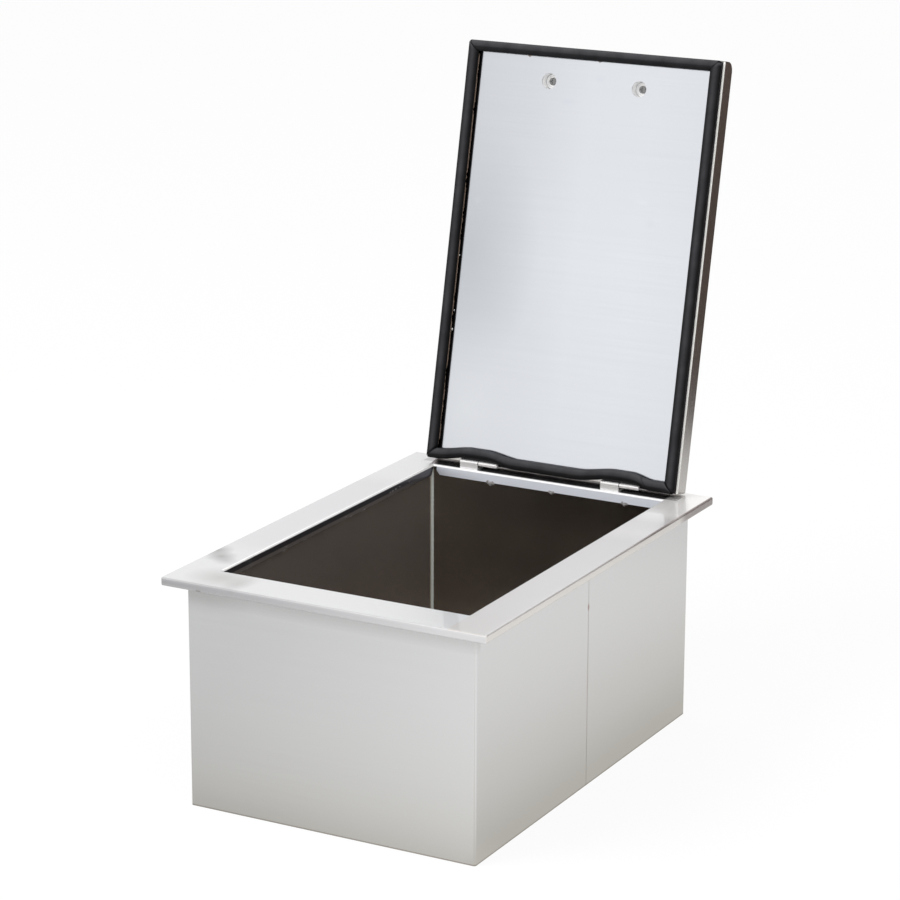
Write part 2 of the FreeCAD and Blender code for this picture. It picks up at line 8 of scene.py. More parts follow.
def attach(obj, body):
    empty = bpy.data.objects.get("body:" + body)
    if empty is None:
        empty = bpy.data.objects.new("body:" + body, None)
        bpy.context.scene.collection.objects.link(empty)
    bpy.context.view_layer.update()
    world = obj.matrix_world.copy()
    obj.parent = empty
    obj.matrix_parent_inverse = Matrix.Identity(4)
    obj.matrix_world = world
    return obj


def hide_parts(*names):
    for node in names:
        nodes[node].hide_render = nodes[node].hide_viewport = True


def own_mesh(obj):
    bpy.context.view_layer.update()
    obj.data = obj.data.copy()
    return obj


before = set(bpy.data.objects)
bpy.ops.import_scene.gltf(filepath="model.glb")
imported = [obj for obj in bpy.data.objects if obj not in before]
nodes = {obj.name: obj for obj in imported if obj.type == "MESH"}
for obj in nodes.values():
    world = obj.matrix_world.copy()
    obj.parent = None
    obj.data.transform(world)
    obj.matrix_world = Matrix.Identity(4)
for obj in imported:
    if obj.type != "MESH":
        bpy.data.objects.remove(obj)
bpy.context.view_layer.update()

scene = bpy.context.scene
MM = 0.001


# Sizes of the part, in millimetres, in the part's frame.

HINGE_Y = 271.75
HINGE_Z = 294.65
LID_OPEN = math.radians(102.113)
LID_PLANE = 298.3
SEAL_WIDTH = 13.9
SEAL_HEIGHT = 13.05
SEAL_LEFT = -171.0
SEAL_RIGHT = 169.8
SEAL_FRONT = -264.65
SEAL_REAR = 265.9
LINER_X = 169.5
LINER_FRONT = -254.75
LINER_REAR = 268.25
LINER_FLOOR = 27.0
LINER_BEND = 8.0
LINER_TOP = 284.0
RIM_TOP = 287.0
MOUTH_X = 164.5
MOUTH_FRONT = -249.75
MOUTH_REAR = 263.25
FLANGE_LOW = 274.7
FLANGE_LEAN = 2.0
HANDLE_X = 2.2
HANDLE_Y = -227.55
HANDLE_SPACING = 127.0
SPACER_END = 310.4


def opened(x, y, z):
    """A point of the closed lid, in millimetres, where it is when the lid stands open, in metres."""
    back = y - HINGE_Y
    up = z - HINGE_Z
    cos = math.cos(LID_OPEN)
    sin = math.sin(LID_OPEN)
    return Vector((x, HINGE_Y + back * cos + up * sin, HINGE_Z - back * sin + up * cos)) * MM


# Material helpers.

def add(tree, kind, links=None, **settings):
    """A shader node: settings name its attributes, or its inputs by their label."""
    node = tree.nodes.new("ShaderNode" + kind)
    for name, value in settings.items():
        label = name.replace("_", " ")
        if label in node.inputs:
            node.inputs[label].default_value = value
        else:
            setattr(node, name, value)
    for name, source in (links or {}).items():
        tree.links.new(source, node.inputs[name])
    return node


def ramp(tree, source, stops):
    """A colour ramp over the stops (position, colour)."""
    node = add(tree, "ValToRGB", {"Fac": source})
    elements = node.color_ramp.elements
    while len(elements) < len(stops):
        elements.new(0.5)
    for element, (position, colour) in zip(elements, stops):
        element.position = position
        element.color = (*colour, 1.0)
    return node.outputs["Color"]


def spread(tree, source, low, high, start=0.0, end=1.0):
    """The source's range from start to end, laid over low to high."""
    node = add(tree, "MapRange", {"Value": source})
    node.inputs["From Min"].default_value = start
    node.inputs["From Max"].default_value = end
    node.inputs["To Min"].default_value = low
    node.inputs["To Max"].default_value = high
    return node.outputs["Result"]


def maths(tree, operation, first, second):
    """One arithmetic step on two sockets or a socket and a number."""
    node = add(tree, "Math", operation=operation)
    for socket, value in zip(node.inputs, (first, second)):
        if isinstance(value, (int, float)):
            socket.default_value = value
        else:
            tree.links.new(value, socket)
    return node.outputs["Value"]


def grain(tree, stretch, detail=3.0, rough=0.6):
    """Noise on the piece's own coordinates, stretched along the axis with the smallest factor."""
    coords = add(tree, "TexCoord").outputs["Object"]
    mapped = add(tree, "Mapping", {"Vector": coords})
    mapped.inputs["Scale"].default_value = stretch
    node = add(tree, "TexNoise", {"Vector": mapped.outputs["Vector"]}, Scale=1.0, Detail=detail,
               Roughness=rough)
    return node.outputs["Fac"]


def spot(tree, centre, radii):
    """1 at a place on the piece, falling to 0 at the given radii."""
    coords = add(tree, "TexCoord").outputs["Object"]
    mapped = add(tree, "Mapping", {"Vector": coords}, vector_type="POINT")
    mapped.inputs["Location"].default_value = [-c / r for c, r in zip(centre, radii)]
    mapped.inputs["Scale"].default_value = [1 / r for r in radii]
    length = add(tree, "VectorMath", operation="LENGTH")
    tree.links.new(mapped.outputs["Vector"], length.inputs[0])
    return spread(tree, length.outputs["Value"], 1.0, 0.0)


def patch(tree, low, high, soft, on_lid):
    """1 inside a box, falling to 0 over its soft edges. A box on the lid is given for the closed lid."""
    place = add(tree, "TexCoord").outputs["Object"]
    if on_lid:
        axis = Vector((0.0, HINGE_Y, HINGE_Z)) * MM
        turned = Matrix.Rotation(LID_OPEN, 3, "X") @ axis
        mapped = add(tree, "Mapping", {"Vector": place}, vector_type="POINT")
        mapped.inputs["Rotation"].default_value = (LID_OPEN, 0.0, 0.0)
        mapped.inputs["Location"].default_value = axis - turned
        place = mapped.outputs["Vector"]
    parts = add(tree, "SeparateXYZ", {"Vector": place})
    inside = None
    for i, axis in enumerate("XYZ"):
        rise = spread(tree, parts.outputs[axis], 0.0, 1.0, low[i] - soft[i], low[i])
        fall = spread(tree, parts.outputs[axis], 1.0, 0.0, high[i], high[i] + soft[i])
        both = maths(tree, "MULTIPLY", rise, fall)
        inside = maths(tree, "MULTIPLY", inside, both) if inside else both
    return inside


def mixed(tree, factor, first, second):
    """One colour over another by a factor."""
    node = add(tree, "Mix", {"Factor": factor}, data_type="RGBA")
    tree.links.new(first, node.inputs["A"])
    if isinstance(second, tuple):
        node.inputs["B"].default_value = (*second, 1.0)
    else:
        tree.links.new(second, node.inputs["B"])
    return node.outputs["Result"]


def multiplied(tree, first, second):
    """One colour times another."""
    node = add(tree, "Mix", {"A": first, "B": second}, data_type="RGBA", blend_type="MULTIPLY")
    node.inputs["Factor"].default_value = 1.0
    return node.outputs["Result"]


def greys(stops):
    """Ramp stops (position, level) as grey colours."""
    return [(at, (level, level, level)) for at, level in stops]


def material(name):
    """A new node material, its tree and its main shader."""
    made = bpy.data.materials.new(name)
    made.use_nodes = True
    tree = made.node_tree
    return made, tree, tree.nodes["Principled BSDF"]


def along_axis(tree, axis, low, high):
    """A coordinate of the piece, in metres, laid over 0 to 1."""
    parts = add(tree, "SeparateXYZ", {"Vector": add(tree, "TexCoord").outputs["Object"]})
    return spread(tree, parts.outputs[axis], 0.0, 1.0, low, high)


# Span of the noise values that most of a surface has.
NOISE_LOW = 0.3
NOISE_HIGH = 0.7

# Grain of brushed steel: noise scales per metre, and shares in its tone and in its wear.
STREAK_ALONG = 5.0
BAND_ALONG = 0.5
BAND_ACROSS = 0.12
HAZE_SCALE = (7.0, 7.0, 7.0)
STREAK_TONE = 0.5
BAND_TONE = 0.2
HAZE_TONE = 0.3
STREAK_WEAR = 0.3
HAZE_WEAR = 0.7
STREAK_DEPTH = 0.0001
LACQUER_ROUGHNESS = 0.04


def steel(name, dark, light, rough, along, fine=1500.0, bump=0.12, marks=(), fades=(), lacquer=0.0,
          film=0.0, patches=(), polishes=(), on_lid=False, octaves=4.0):
    """Brushed sheet steel: fine streaks along one axis, and handling haze.

    Lengths are in metres. A mark (centre, radii, colour, amount) is a soft spot of colour, for marks on the
    sheet and for painted light and shade. A fade (axis, low, high, stops) paints shade along an axis. Lacquer
    is a clear polished skin, and film a thin scattering layer. A patch (low, high, soft, colour, amount,
    film) paints light and shade on a box of the sheet. A polish (low, high, soft, share) takes that share of
    the roughness and the film off it."""
    made, tree, bsdf = material(name)
    stretch = [STREAK_ALONG if axis in along else fine for axis in "xyz"]
    streaks = grain(tree, stretch, detail=octaves)
    broad = [STREAK_ALONG * BAND_ALONG if axis in along else fine * BAND_ACROSS for axis in "xyz"]
    bands = grain(tree, broad)
    haze = grain(tree, HAZE_SCALE, detail=5.0, rough=0.55)
    cloud = maths(tree, "ADD", maths(tree, "MULTIPLY", bands, BAND_TONE),
                  maths(tree, "MULTIPLY", haze, HAZE_TONE))
    tone = maths(tree, "ADD", maths(tree, "MULTIPLY", streaks, STREAK_TONE), cloud)
    colour = ramp(tree, tone, [(NOISE_LOW, dark), (NOISE_HIGH, light)])
    for axis, low, high, stops in fades:
        shade = ramp(tree, along_axis(tree, axis, low, high), greys(stops))
        colour = multiplied(tree, colour, shade)
    for centre, radii, stain_and_painted_tone, amount in marks:
        where = maths(tree, "MULTIPLY", spot(tree, centre, radii), amount)
        colour = mixed(tree, where, colour, stain_and_painted_tone)
    bare = None
    for low, high, soft, stain_and_painted_tone, amount, hazy in patches:
        inside = patch(tree, low, high, soft, on_lid)
        colour = mixed(tree, maths(tree, "MULTIPLY", inside, amount), colour, stain_and_painted_tone)
        if hazy:
            hazed = maths(tree, "MULTIPLY", inside, hazy)
            bare = maths(tree, "MAXIMUM", bare, hazed) if bare else hazed
    tree.links.new(colour, bsdf.inputs["Base Color"])
    wear = maths(tree, "ADD", maths(tree, "MULTIPLY", haze, HAZE_WEAR),
                 maths(tree, "MULTIPLY", streaks, STREAK_WEAR))
    satin = spread(tree, wear, *rough, NOISE_LOW, NOISE_HIGH)
    for low, high, soft, share in polishes:
        kept = spread(tree, patch(tree, low, high, soft, on_lid), 1.0, 1.0 - share)
        satin = maths(tree, "MULTIPLY", satin, kept)
        clean = maths(tree, "MULTIPLY", kept, film)
        bare = maths(tree, "ADD", bare, clean) if bare else clean
    tree.links.new(satin, bsdf.inputs["Roughness"])
    if bare:
        hidden = 0.0 if polishes else film
        tree.links.new(maths(tree, "SUBTRACT", 1.0 - hidden, bare), bsdf.inputs["Metallic"])
    if bump:
        relief = add(tree, "Bump", {"Height": streaks}, Strength=bump, Distance=STREAK_DEPTH)
        tree.links.new(relief.outputs["Normal"], bsdf.inputs["Normal"])
    bsdf.inputs["Metallic"].default_value = 1.0 - film
    bsdf.inputs["Coat Weight"].default_value = lacquer
    bsdf.inputs["Coat Roughness"].default_value = LACQUER_ROUGHNESS
    return made


# Painted light and shade on the rubber, by how far its skin faces up and to the right, from -1 to 1.
RUBBER_PAINTED_UPWARD = ((-0.2, 0.26), (-0.04, 0.28), (0.1, 0.41), (0.21, 0.575), (0.58, 0.78), (0.84, 1.0))
RUBBER_PAINTED_SIDEWAYS = ((-0.46, 0.42), (-0.2, 0.70), (0.0, 0.90), (0.19, 1.0), (0.36, 0.97), (0.52, 0.84),
                   (0.67, 0.68), (0.8, 0.52), (0.98, 0.32))
RUBBER_SHINE = 0.03


def rubber(name, dark, light, rough):
    """Extruded rubber: a matt skin with a fine pebble and faint dust, and painted light and shade, palest on
    its upper side.
    """
    made, tree, bsdf = material(name)
    dust = grain(tree, (45.0, 45.0, 45.0), detail=6.0, rough=0.65)
    pebble = grain(tree, (900.0, 900.0, 900.0), detail=2.0)
    normal = add(tree, "TexCoord").outputs["Normal"]
    parts = add(tree, "SeparateXYZ", {"Vector": normal})
    colour = ramp(tree, dust, [(0.35, dark), (0.75, light)])
    # painted light and shade, by the way the skin faces
    for axis, stops in (("Z", RUBBER_PAINTED_UPWARD), ("X", RUBBER_PAINTED_SIDEWAYS)):
        turned = spread(tree, parts.outputs[axis], 0.0, 1.0, -1.0, 1.0)
        painted_by_facing = ramp(tree, turned, greys([((at + 1) / 2, level) for at, level in stops]))
        colour = multiplied(tree, colour, painted_by_facing)
    tree.links.new(colour, bsdf.inputs["Base Color"])
    tree.links.new(spread(tree, dust, *rough, NOISE_LOW, NOISE_HIGH), bsdf.inputs["Roughness"])
    relief = add(tree, "Bump", {"Height": pebble}, Strength=0.25, Distance=0.00015)
    tree.links.new(relief.outputs["Normal"], bsdf.inputs["Normal"])
    bsdf.inputs["Specular IOR Level"].default_value = RUBBER_SHINE
    return made


def foam():
    """Pale rigid foam with open cells on its cut faces."""
    made, tree, bsdf = material("rigid_foam")
    coords = add(tree, "TexCoord").outputs["Object"]
    cells = add(tree, "TexVoronoi", {"Vector": coords}, Scale=650.0).outputs["Distance"]
    cloud = grain(tree, (20.0, 20.0, 20.0), detail=4.0)
    tone = maths(tree, "ADD", maths(tree, "MULTIPLY", cells, 0.5), maths(tree, "MULTIPLY", cloud, 0.6))
    colour = ramp(tree, tone, [(0.2, (0.72, 0.66, 0.5)), (0.75, (0.88, 0.85, 0.74))])
    tree.links.new(colour, bsdf.inputs["Base Color"])
    tree.links.new(spread(tree, cloud, 0.85, 0.95), bsdf.inputs["Roughness"])
    relief = add(tree, "Bump", {"Height": cells}, Strength=0.5, Distance=0.0006)
    tree.links.new(relief.outputs["Normal"], bsdf.inputs["Normal"])
    return made


def gum(name, dark, light, rough):
    """A dried smear of sealant or glue: slightly see-through, lumpy and dusty."""
    made, tree, bsdf = material(name)
    lumps = grain(tree, (320.0, 320.0, 320.0), detail=4.0)
    tree.links.new(ramp(tree, lumps, [(0.35, dark), (0.7, light)]), bsdf.inputs["Base Color"])
    tree.links.new(spread(tree, lumps, *rough, NOISE_LOW, NOISE_HIGH), bsdf.inputs["Roughness"])
    relief = add(tree, "Bump", {"Height": lumps}, Strength=0.4, Distance=0.0006)
    tree.links.new(relief.outputs["Normal"], bsdf.inputs["Normal"])
    bsdf.inputs["Subsurface Weight"].default_value = 0.15
    bsdf.inputs["Subsurface Radius"].default_value = (0.002, 0.002, 0.002)
    return made


# Materials. Places are in metres. The lid's patches are given for the closed lid, the panel's marks and fades
# for the open one.

# The patches and fades below, and many of the marks, are painted light and shade.
DARK_REFLECTION_PAINT = (0.27, 0.262, 0.258)
SHADOW = (0.04, 0.037, 0.04)
SEAM_TINT = (0.50, 0.46, 0.43)
HOLE_PAINTED_LIGHT = (0.95, 0.95, 0.95)
CHALKY = (0.86, 0.88, 0.91)

weld_marks = [
    # burnt spot and discoloured edges at the seams
    ((0.1915, 0.0, 0.227), (0.003, 0.0030, 0.006), (0.30, 0.13, 0.10), 1.0),
    ((0.1915, 0.0, 0.14), (0.004, 0.0035, 0.16), SEAM_TINT, 0.45),
    ((-0.1915, 0.0, 0.14), (0.004, 0.0035, 0.16), SEAM_TINT, 0.45),
]
rim_painted_spots = [
    # painted light on the rear right corner
    ((0.205, 0.300, 0.287), (0.06, 0.06, 0.006), (0.97, 0.97, 0.96), 1.2),
    # painted dark reflection slanting across the left strip
    ((-0.2120, -0.1850, 0.287), (0.021, 0.024, 0.006), DARK_REFLECTION_PAINT, 0.85),
    ((-0.1950, -0.2030, 0.287), (0.021, 0.020, 0.006), DARK_REFLECTION_PAINT, 0.8),
    ((-0.1810, -0.2150, 0.287), (0.018, 0.016, 0.006), DARK_REFLECTION_PAINT, 0.45),
    # painted dark reflection at the front left corner
    ((-0.122, -0.283, 0.287), (0.018, 0.035, 0.006), (0.36, 0.35, 0.345), 0.5),
    ((-0.150, -0.272, 0.287), (0.05, 0.04, 0.006), (0.50, 0.495, 0.48), 0.9),
    # painted darker reflections on the turned-down edge: right rear end, front, and front left end
    ((0.2145, 0.306, 0.2815), (0.002, 0.2, 0.012), (0.26, 0.22, 0.21), 1.0),
    ((0.0, -0.3037, 0.2815), (1.6, 0.002, 0.012), (0.50, 0.495, 0.51), 0.6),
    ((-0.2145, -0.3037, 0.2815), (0.38, 0.002, 0.012), (0.285, 0.28, 0.29), 0.8),
]
rim_painted_boxes = [
    # painted dark reflection of the seal on the rear strip under the open lid
    ((-0.1845, 0.2780, 0.2865), (0.1795, 0.2940, 0.2875), (0.004, 0.005, 0.0005),
     (0.40, 0.385, 0.40), 0.9, 0.0),
    # painted highlight on the rear fold, and painted bluish reflection on the rear flange
    ((-0.166, 0.2634, 0.2846), (0.166, 0.2654, 0.2871), (0.001, 0.0004, 0.0002),
     (0.97, 0.97, 0.98), 1.0, 0.5),
    ((-0.170, 0.2600, 0.2740), (0.170, 0.2650, 0.2845), (0.001, 0.0004, 0.0006),
     (0.60, 0.63, 0.70), 0.8, 0.0),
    # painted highlight on the left fold, painted dark reflection of the well on the left flange, paler on its
    # lower edge
    ((-0.1668, -0.2460, 0.2846), (-0.1630, 0.2620, 0.2869), (0.0006, 0.002, 0.0002),
     (0.97, 0.96, 0.94), 1.0, 0.5),
    ((-0.1660, -0.2600, 0.2740), (-0.1600, 0.2700, 0.2846), (0.0004, 0.002, 0.0004),
     (0.04, 0.037, 0.042), 1.0, 0.0),
    ((-0.1660, -0.2600, 0.2740), (-0.1600, 0.1200, 0.2785), (0.0004, 0.14, 0.0008),
     (0.20, 0.18, 0.165), 0.9, 0.0),
    # painted reflection tones on the flat top: left strip, then the right strip from front to rear
    ((-0.2145, -0.140, 0.286), (-0.170, 0.150, 0.288), (0.003, 0.04, 0.001),
     (0.71, 0.695, 0.71), 0.7, 0.0),
    ((0.167, -0.290, 0.286), (0.2145, 0.100, 0.288), (0.003, 0.08, 0.001),
     (0.73, 0.695, 0.665), 0.8, 0.0),
    ((0.167, 0.120, 0.286), (0.2145, 0.200, 0.288), (0.003, 0.04, 0.001),
     (0.86, 0.82, 0.79), 0.8, 0.0),
    ((0.167, 0.205, 0.286), (0.2145, 0.306, 0.288), (0.003, 0.04, 0.001),
     (0.90, 0.885, 0.87), 0.9, 0.4),
    # painted reflection tones on the right turned-down edge, its fold at the front and the rear, and its rear
    # end
    ((0.2140, -0.310, 0.2760), (0.2150, 0.225, 0.2850), (0.0003, 0.03, 0.0008),
     (0.69, 0.665, 0.635), 1.0, 0.0),
    ((0.2120, -0.310, 0.2854), (0.2150, -0.050, 0.2875), (0.0006, 0.15, 0.0004),
     (0.78, 0.77, 0.76), 0.8, 0.08),
    ((0.2125, 0.130, 0.2854), (0.2150, 0.260, 0.2872), (0.0006, 0.06, 0.0004),
     (0.42, 0.38, 0.37), 0.9, 0.0),
    ((0.2125, 0.225, 0.2760), (0.2150, 0.310, 0.2872), (0.0006, 0.02, 0.0004),
     (0.31, 0.27, 0.26), 0.95, 0.0),
]
rim_polishes = [
    # rear strip under the open lid, which mirrors the seal
    ((-0.1845, 0.2680, 0.2860), (0.1795, 0.2970, 0.2880), (0.003, 0.002, 0.0005), 0.82),
]
rim_steel = steel("rim_satin_steel", (0.75, 0.75, 0.755), (0.79, 0.79, 0.795), (0.32, 0.40), "x",
                  bump=0.02, lacquer=0.6, film=0.25,
                  marks=rim_painted_spots, patches=rim_painted_boxes, polishes=rim_polishes)
casing_painted_shade = [
    # shade under the rim along the front, and deeper at its left end
    ((-0.200, -0.300, 0.2680), (0.200, -0.275, 0.2900), (0.010, 0.004, 0.0160),
     (0.48, 0.475, 0.47), 0.6, 0.0),
    ((-0.200, -0.300, 0.2620), (-0.160, -0.275, 0.2900), (0.060, 0.004, 0.0200),
     (0.40, 0.395, 0.39), 0.4, 0.0),
    # painted shadow along the foot
    ((-0.250, -0.300, -0.0100), (0.250, 0.300, 0.0008), (0.001, 0.001, 0.0014),
     (0.36, 0.33, 0.30), 0.8, 0.0),
]
casing_steel = steel("casing_brushed_steel", (0.647, 0.647, 0.649), (0.663, 0.663, 0.665), (0.20, 0.26), "xy",
                     fine=300.0, bump=0.0, octaves=1.0, marks=weld_marks, patches=casing_painted_shade)
pan_steel = steel("casing_mill_steel", (0.50, 0.50, 0.49), (0.60, 0.60, 0.59), (0.34, 0.46), "x", bump=0.10)
# painted shade: the liner darker toward its right side
liner_painted_fade = [("X", -0.17, 0.17, [(0.0, 1.05), (0.5, 0.55), (1.0, 0.28)])]
liner_steel = steel("liner_satin_steel", (0.60, 0.56, 0.52), (0.66, 0.62, 0.58), (0.14, 0.22), "xy",
                    bump=0.06, fades=liner_painted_fade)
wall_steel = steel("liner_wall_satin_steel", (0.71, 0.625, 0.56), (0.77, 0.685, 0.62), (0.14, 0.22), "xy",
                   bump=0.06, film=0.10)
lid_painted_boxes = [
    # right lip: painted highlight at its edge, and painted shadow beside the seal
    ((0.1740, -0.2700, 0.2975), (0.1787, 0.2720, 0.3000), (0.0004, 0.001, 0.0006),
     (0.97, 0.96, 0.92), 1.0, 0.9),
    ((0.1690, -0.2700, 0.2975), (0.1764, 0.2720, 0.3000), (0.0004, 0.001, 0.0006),
     (0.05, 0.045, 0.05), 1.0, 0.0),
    # rear lip beside the hinges
    ((-0.1300, 0.2600, 0.2975), (0.0350, 0.2745, 0.3012), (0.002, 0.001, 0.0006), SHADOW, 1.0, 0.0),
    ((0.0740, 0.2600, 0.2975), (0.1720, 0.2745, 0.3012), (0.002, 0.001, 0.0006), SHADOW, 1.0, 0.0),
    # painted light on the inside of the lid's top behind the access holes
    ((-0.0720, -0.2380, 0.3200), (-0.0510, -0.2170, 0.3224), (0.001, 0.001, 0.0004), HOLE_PAINTED_LIGHT, 1.0, 0.8),
    ((0.0550, -0.2380, 0.3200), (0.0760, -0.2170, 0.3224), (0.001, 0.001, 0.0004), HOLE_PAINTED_LIGHT, 1.0, 0.8),
]
lid_steel = steel("lid_brushed_steel", (0.57, 0.55, 0.525), (0.62, 0.60, 0.575), (0.20, 0.26), "yz",
                  bump=0.0, patches=lid_painted_boxes, on_lid=True)
panel_marks_and_painted_shade = [
    # finger marks
    ((-0.032, 0.375, 0.758), (0.012, 0.05, 0.006), (0.58, 0.61, 0.68), 0.30),
    ((0.010, 0.382, 0.790), (0.008, 0.05, 0.006), (0.60, 0.62, 0.68), 0.30),
    ((0.101, 0.345, 0.619), (0.007, 0.05, 0.008), (0.62, 0.64, 0.68), 0.30),
    # dried drops
    ((-0.146, 0.346, 0.625), (0.007, 0.05, 0.006), CHALKY, 0.12),
    ((0.087, 0.350, 0.644), (0.012, 0.05, 0.004), CHALKY, 0.12),
    # painted reflection tones down the left side: darker higher up, paler lower down
    ((-0.15, 0.34, 0.56), (0.10, 0.2, 0.17), (0.43, 0.455, 0.48), 0.6),
    ((-0.13, 0.29, 0.36), (0.13, 0.2, 0.13), (0.74, 0.755, 0.78), 0.45),
]
panel_painted_edge = [
    # painted dark reflection of the seal along the left edge
    ((-0.1750, -0.2700, 0.2970), (-0.1606, 0.2700, 0.3010), (0.0012, 0.001, 0.0006),
     (0.05, 0.046, 0.055), 0.9, 0.0),
]
# painted shade: the panel darker down its left side and toward its top and bottom ends
panel_painted_fades = [
    ("X", -0.17, 0.17, [(0.0, 0.82), (0.25, 0.88), (0.5, 0.97), (0.75, 0.98), (1.0, 0.95)]),
    ("Z", 0.30, 0.82, [(0.0, 0.97), (0.5, 1.0), (0.8, 0.97), (1.0, 0.96)]),
]
panel_steel = steel("panel_brushed_steel", (0.689, 0.709, 0.749), (0.736, 0.756, 0.791), (0.14, 0.20), "x",
                    fine=1300.0, bump=0.02, marks=panel_marks_and_painted_shade, patches=panel_painted_edge, on_lid=True,
                    fades=panel_painted_fades)
hardware_steel = steel("hardware_polished_steel", (0.66, 0.65, 0.65), (0.75, 0.74, 0.74), (0.14, 0.22), "x",
                       bump=0.05)
leaf_patches = [
    # leaf between the seal and the knuckle
    ((-0.2000, 0.2400, 0.2965), (0.2000, 0.2690, 0.3000), (0.001, 0.0006, 0.0006), SHADOW, 1.0, 0.0),
]
hinge_steel = steel("hinge_satin_steel", (0.90, 0.89, 0.885), (0.97, 0.96, 0.955), (0.34, 0.44), "x",
                    bump=0.05, film=0.35)
leaf_steel = steel("hinge_leaf_satin_steel", (0.88, 0.865, 0.86), (0.95, 0.935, 0.93), (0.34, 0.44), "x",
                   bump=0.05, film=0.35, patches=leaf_patches, on_lid=True)
tube_steel = steel("tube_bright_steel", (0.92, 0.92, 0.92), (0.97, 0.97, 0.97), (0.25, 0.35), "z",
                   bump=0.05, film=0.75)
screw_steel = steel("screw_plated_steel", (0.20, 0.20, 0.20), (0.27, 0.27, 0.27), (0.18, 0.26), "z",
                    bump=0.05)
washer_steel = steel("washer_dark_steel", (0.10, 0.10, 0.098), (0.15, 0.15, 0.145), (0.25, 0.35), "z",
                     bump=0.05)
weld_steel = steel("weld_bead_steel", (0.79, 0.86, 0.83), (0.90, 0.97, 0.94), (0.45, 0.6), "xy",
                   fine=500.0, bump=0.4, film=0.5)
seal_rubber = rubber("seal_black_rubber", (0.052, 0.052, 0.056), (0.080, 0.080, 0.086), (0.40, 0.52))
plug_rubber = rubber("plug_black_rubber", (0.03, 0.03, 0.031), (0.065, 0.065, 0.065), (0.45, 0.6))
clear_sealant = gum("clear_sealant", (0.12, 0.115, 0.11), (0.34, 0.33, 0.33), (0.2, 0.4))
white_glue = gum("dried_white_glue", (0.70, 0.69, 0.66), (0.88, 0.87, 0.85), (0.4, 0.6))
brown_glue = gum("seal_glue", (0.13, 0.085, 0.06), (0.27, 0.20, 0.16), (0.35, 0.55))
rigid_foam = foam()

finish = {
    "rim_frame": rim_steel,
    "casing_front": casing_steel,
    "casing_rear": casing_steel,
    "casing_seam_straps": pan_steel,
    "casing_bottom_pan": pan_steel,
    "liner_front_floor_rear": liner_steel,
    "liner_wall_left": wall_steel,
    "liner_wall_right": wall_steel,
    "rim_sealant": clear_sealant,
    "drain_fitting": hardware_steel,
    "drain_seal": plug_rubber,
    "drain_locknut": hardware_steel,
    "drain_strainer": hardware_steel,
    "drain_plug": plug_rubber,
    "drain_plug_knob": hardware_steel,
    "hinge_washers": washer_steel,
    "lid_shell": lid_steel,
    "lid_inner_panel": panel_steel,
    "lid_foam_core": rigid_foam,
    "lid_handle": hardware_steel,
    "handle_screws": screw_steel,
    "lid_access_tubes": tube_steel,
    "handle_spacers": hinge_steel,
}
for side in ("front", "rear", "floor", "left", "right"):
    finish["foam_" + side] = rigid_foam
for side in ("left", "right"):
    for piece in ("hinge_rim_leaf_", "hinge_pin_"):
        finish[piece + side] = hinge_steel
    finish["hinge_lid_leaf_" + side] = leaf_steel
for side in ("front", "left", "right", "rear"):
    finish["seal_" + side] = seal_rubber


def coat(piece, made):
    """Puts a material on every slot of a piece."""
    if not piece.material_slots:
        piece.data.materials.append(made)
    for slot in piece.material_slots:
        slot.material = made


for name, piece in nodes.items():
    coat(piece, finish[name])


# Mesh helpers.

def build(name, vertices, faces, made, body, slot):
    """A smooth mesh piece that rides on a body."""
    mesh = bpy.data.meshes.new(name)
    mesh.from_pydata([tuple(v) for v in vertices], [], faces)
    bm = bmesh.new()
    bm.from_mesh(mesh)
    bmesh.ops.recalc_face_normals(bm, faces=bm.faces)
    bm.to_mesh(mesh)
    bm.free()
    for polygon in mesh.polygons:
        polygon.use_smooth = True
    piece = bpy.data.objects.new(name, mesh)
    scene.collection.objects.link(piece)
    coat(piece, made)
    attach(piece, body)
    return piece


def loft(rings, caps=True):
    """Vertices and faces of a skin over equal closed rings of points."""
    size = len(rings[0])
    vertices = [point for ring in rings for point in ring]
    faces = []
    for i in range(len(rings) - 1):
        for j in range(size):
            k = (j + 1) % size
            faces.append((i * size + j, i * size + k, (i + 1) * size + k, (i + 1) * size + j))
    if caps:
        faces.append(tuple(range(size)))
        faces.append(tuple((len(rings) - 1) * size + j for j in range(size)))
    return vertices, faces


def add_skin(vertices, faces, rings, caps=True):
    """Adds a skin over rings to a mesh's vertices and faces."""
    start = len(vertices)
    points, skin = loft(rings, caps)
    vertices.extend(points)
    faces.extend(tuple(start + i for i in face) for face in skin)


def metres(x, y, z):
    """A point of the chest, in millimetres, in metres."""
    return Vector((x, y, z)) * MM


# Seal round the lid: a round bulb stuck on by a narrow foot, in four mitred lengths.

SEAL_HALF = SEAL_WIDTH / 2
SEAL_MIDDLE = SEAL_HEIGHT - SEAL_HALF
SEAL_FOOT = math.sqrt(SEAL_HALF ** 2 - SEAL_MIDDLE ** 2)
BULB_STEPS = 32
SEAL_RINGS = 120
# mitres: gap, straight part of the cut, rounding of the rest
MITRE_GAP = 0.05
MITRE_STRAIGHT = 3.2
MITRE_ROUNDING = 4.6
# unevenness, which fades out toward the mitres: sideways, in height and in width
WANDER = 0.22
WANDER_SCALE = 0.012
SLUMP = 0.015
NARROWING = 0.004
UNEVEN_RISE = 12
# bows of the rear length: depth, and each one's start, top from and to, and end
REAR_BOW = 6.1
REAR_BOWS = ((-163.0, -117.0, -95.0, -48.0), (37.0, 91.0, 112.0, 145.0))
# hinge knuckles that press on the rear length, with the lengths over which that starts and ends
KNUCKLE_FACE = 267.0
KNUCKLE_INNER = 70.0
KNUCKLE_OUTER = 133.0
KNUCKLE_STARTS = 10.0
KNUCKLE_ENDS = 8.0
